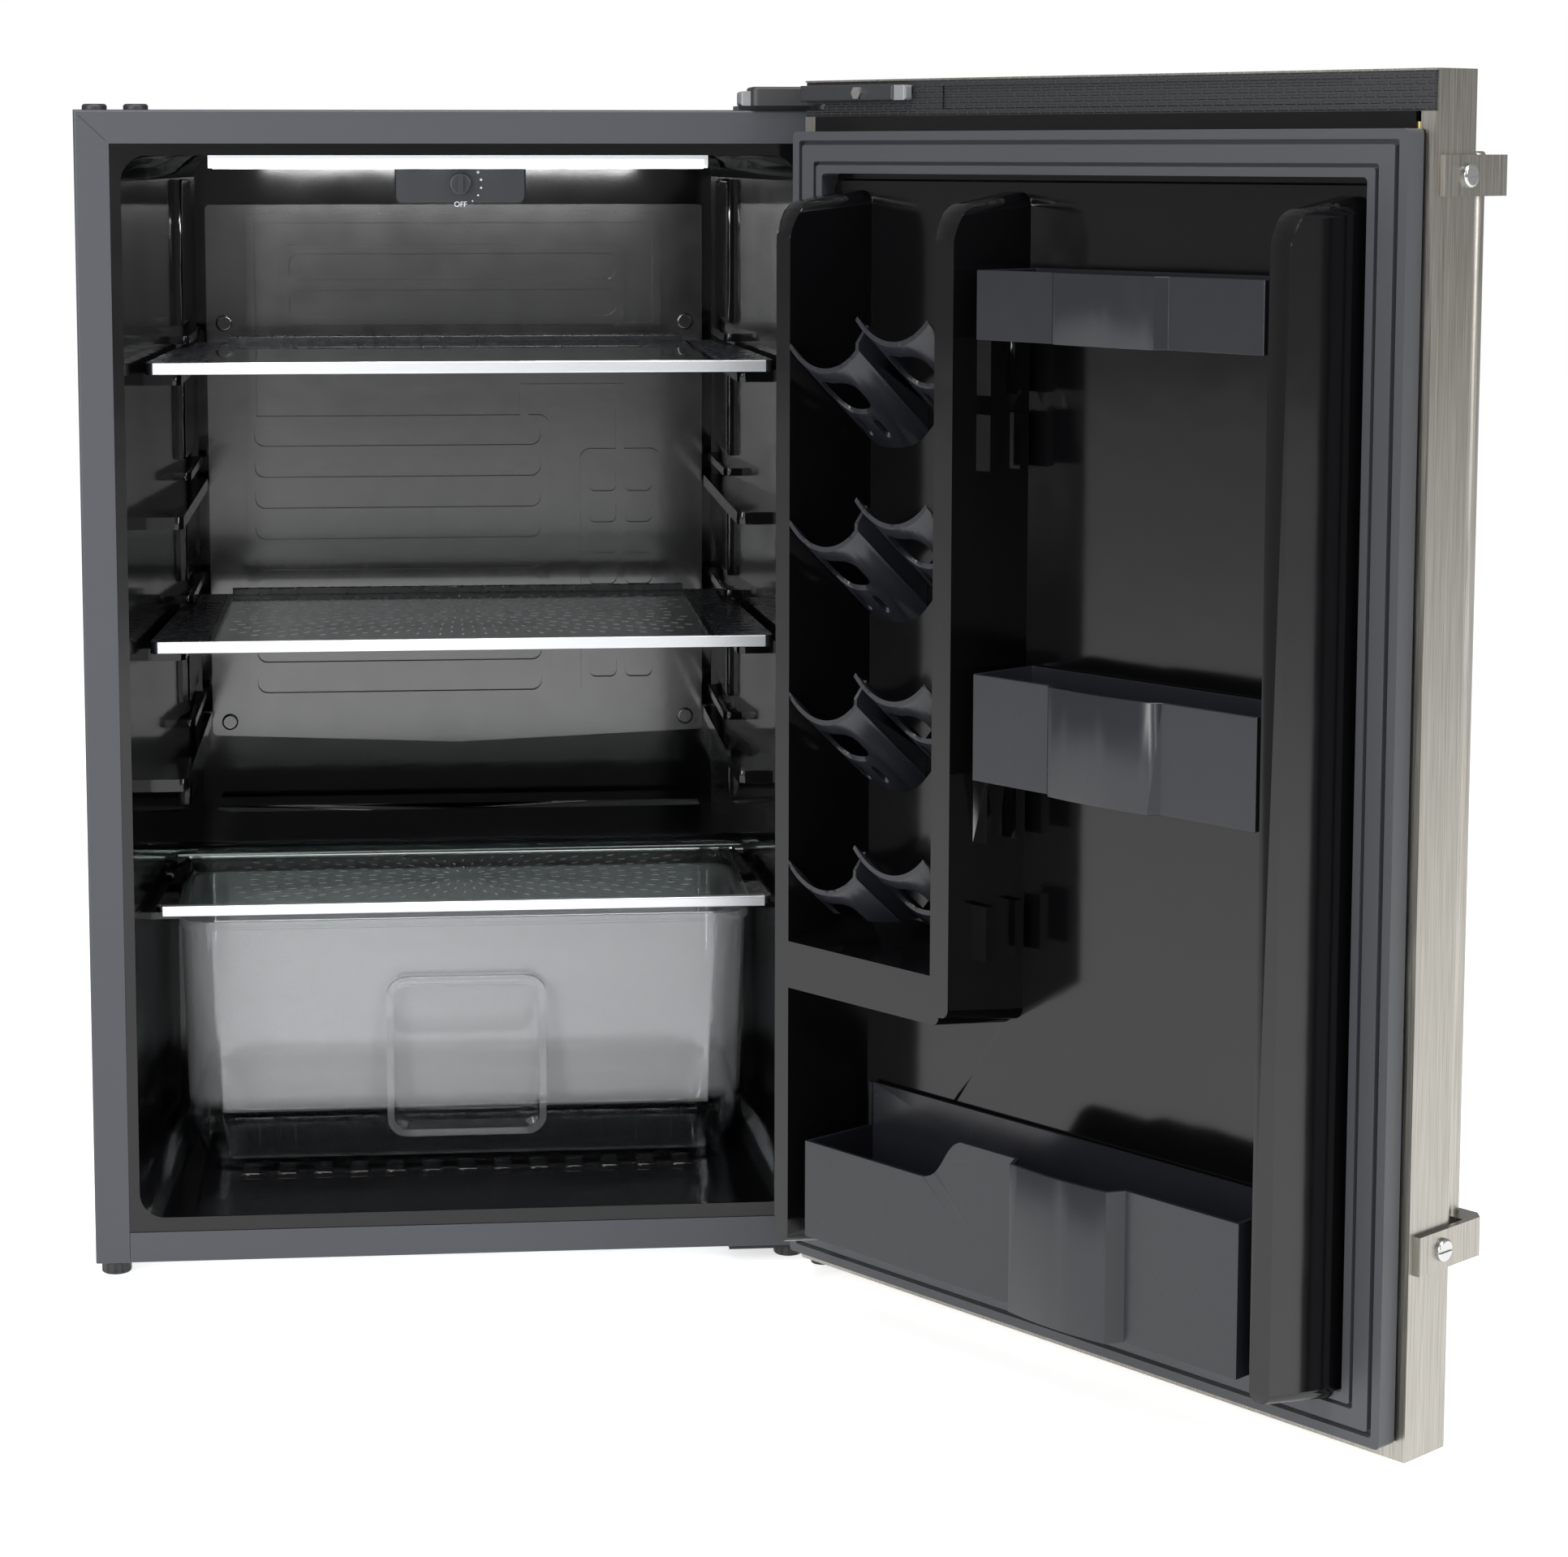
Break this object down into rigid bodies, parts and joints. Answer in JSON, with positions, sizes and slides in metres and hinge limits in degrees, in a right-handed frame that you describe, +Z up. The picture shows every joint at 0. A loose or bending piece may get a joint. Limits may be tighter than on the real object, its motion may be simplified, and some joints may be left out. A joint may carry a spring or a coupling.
{
  "type": "mini fridge",
  "caption": "Compact single-door larder fridge with two glass shelves, a clear crisper drawer, door bins, can racks and a bar handle; the door stands open.",
  "frame": {"origin": "bottom centre of the stored box, with the door open", "axes": "+Z up, +Y from the cabinet's open front to its back, +X to the viewer's right facing the open cabinet"},
  "size_m": [0.8702, 0.9228, 0.8415],
  "materials": {
    "black_sheet": "textured black paint",
    "zinc_sheet": "galvanised",
    "cabinet_plastic": "gloss black",
    "insulation": "rigid foam",
    "evaporator_metal": "grey lacquer",
    "white_plastic": "satin white",
    "lamp_lens": "opal",
    "grey_plastic": "satin grey",
    "knob_plastic": "satin light grey",
    "black_plastic": "fine texture",
    "shelf_glass": "tempered",
    "silver_trim": "satin silver",
    "clear_plastic": "clear",
    "compressor_steel": "black enamel",
    "copper": "bare copper",
    "stainless": "brushed",
    "gasket_rubber": "soft",
    "door_liner_plastic": "gloss black",
    "bush_plastic": "acetal"
  },
  "bodies": {
    "cabinet": {"back_panel": "zinc_sheet", "base_plate": "zinc_sheet", "bay_panel": "zinc_sheet", "bottom_hinge_plate": "zinc_sheet", "bottom_hinge_screws": "stainless", "bottom_rail": "black_sheet", "cabinet_foam": "insulation", "compressor": "compressor_steel", "compressor_grommets": "gasket_rubber", "control_box": "grey_plastic", "cord_gland": "black_plastic", "drain_tray": "white_plastic", "drain_tube": "white_plastic", "evaporator_plate": "evaporator_metal", "evaporator_studs": "white_plastic", "filter_drier": "copper", "hole_plugs": "black_plastic", "inner_liner": "cabinet_plastic", "light_board": "lamp_lens", "light_housing": "white_plastic", "light_lens": "lamp_lens", "outer_shell": "black_sheet", "rear_feet": "black_plastic", "refrigerant_tubes": "copper", "relay_cover": "black_plastic", "top_hinge_cover": "black_plastic", "top_hinge_end_cap": "grey_plastic", "top_hinge_pin": "stainless", "top_hinge_plate": "zinc_sheet", "top_hinge_screws": "stainless"},
    "upper_shelf": {"upper_shelf_frame": "black_plastic", "upper_shelf_glass": "shelf_glass", "upper_shelf_trim": "silver_trim"},
    "middle_shelf": {"middle_shelf_frame": "black_plastic", "middle_shelf_glass": "shelf_glass", "middle_shelf_trim": "silver_trim"},
    "crisper_shelf": {"crisper_shelf_glass": "shelf_glass", "crisper_shelf_trim": "silver_trim", "crisper_shelf_runners": "black_plastic"},
    "crisper_drawer": {"crisper_drawer": "clear_plastic"},
    "thermostat_knob": {"thermostat_knob": "knob_plastic"},
    "left_front_foot": {"left_front_foot": "black_plastic"},
    "right_front_foot": {"right_front_foot": "black_plastic"},
    "upper_bin": {"upper_bin": "door_liner_plastic"},
    "middle_bin": {"middle_bin": "door_liner_plastic"},
    "bottom_bin": {"bottom_bin": "door_liner_plastic"},
    "door": {"door_skin": "stainless", "door_top_cap": "black_plastic", "top_bush": "bush_plastic", "bottom_bush": "bush_plastic", "door_liner": "door_liner_plastic", "door_foam": "insulation", "door_gasket": "gasket_rubber", "can_racks": "door_liner_plastic", "handle_tube": "stainless", "handle_brackets": "stainless", "handle_screws": "stainless", "door_hinge_arm": "black_plastic", "door_arm_end_cap": "grey_plastic", "door_arm_screw": "stainless"}
  },
  "joints": [
    {"name": "door_hinge", "type": "hinge", "parent": "cabinet", "child": "door", "pos_m": [0.07776, -0.04448, 0.42], "axis": [0, 0, 1], "range_deg": [-127.6, 5]},
    {"name": "thermostat_turn", "type": "hinge", "parent": "cabinet", "child": "thermostat_knob", "pos_m": [-0.17164, 0.03642, 0.771], "axis": [0, -1, 0], "range_deg": [0, 270]},
    {"name": "upper_shelf_slide", "type": "slide", "parent": "cabinet", "child": "upper_shelf", "axis": [0, -1, 0], "range_m": [0, 0.12]},
    {"name": "middle_shelf_slide", "type": "slide", "parent": "cabinet", "child": "middle_shelf", "axis": [0, -1, 0], "range_m": [0, 0.12]},
    {"name": "crisper_shelf_slide", "type": "slide", "parent": "cabinet", "child": "crisper_shelf", "axis": [0, -1, 0], "range_m": [0, 0.1]},
    {"name": "crisper_drawer_slide", "type": "slide", "parent": "cabinet", "child": "crisper_drawer", "axis": [0, -1, 0], "range_m": [0, 0.15]},
    {"name": "upper_bin_lift", "type": "slide", "parent": "door", "child": "upper_bin", "axis": [0, 0, 1], "range_m": [0, 0.03]},
    {"name": "middle_bin_lift", "type": "slide", "parent": "door", "child": "middle_bin", "axis": [0, 0, 1], "range_m": [0, 0.03]},
    {"name": "bottom_bin_lift", "type": "slide", "parent": "door", "child": "bottom_bin", "axis": [0, 0, 1], "range_m": [0, 0.03]},
    {"name": "left_foot_screw", "type": "hinge", "parent": "cabinet", "child": "left_front_foot", "pos_m": [-0.42264, 0.00842, 0.005], "axis": [0, 0, 1], "range_deg": [-180, 180]},
    {"name": "right_foot_screw", "type": "hinge", "parent": "cabinet", "child": "right_front_foot", "pos_m": [0.05906, 0.00842, 0.005], "axis": [0, 0, 1], "range_deg": [-180, 180]}
  ]
}
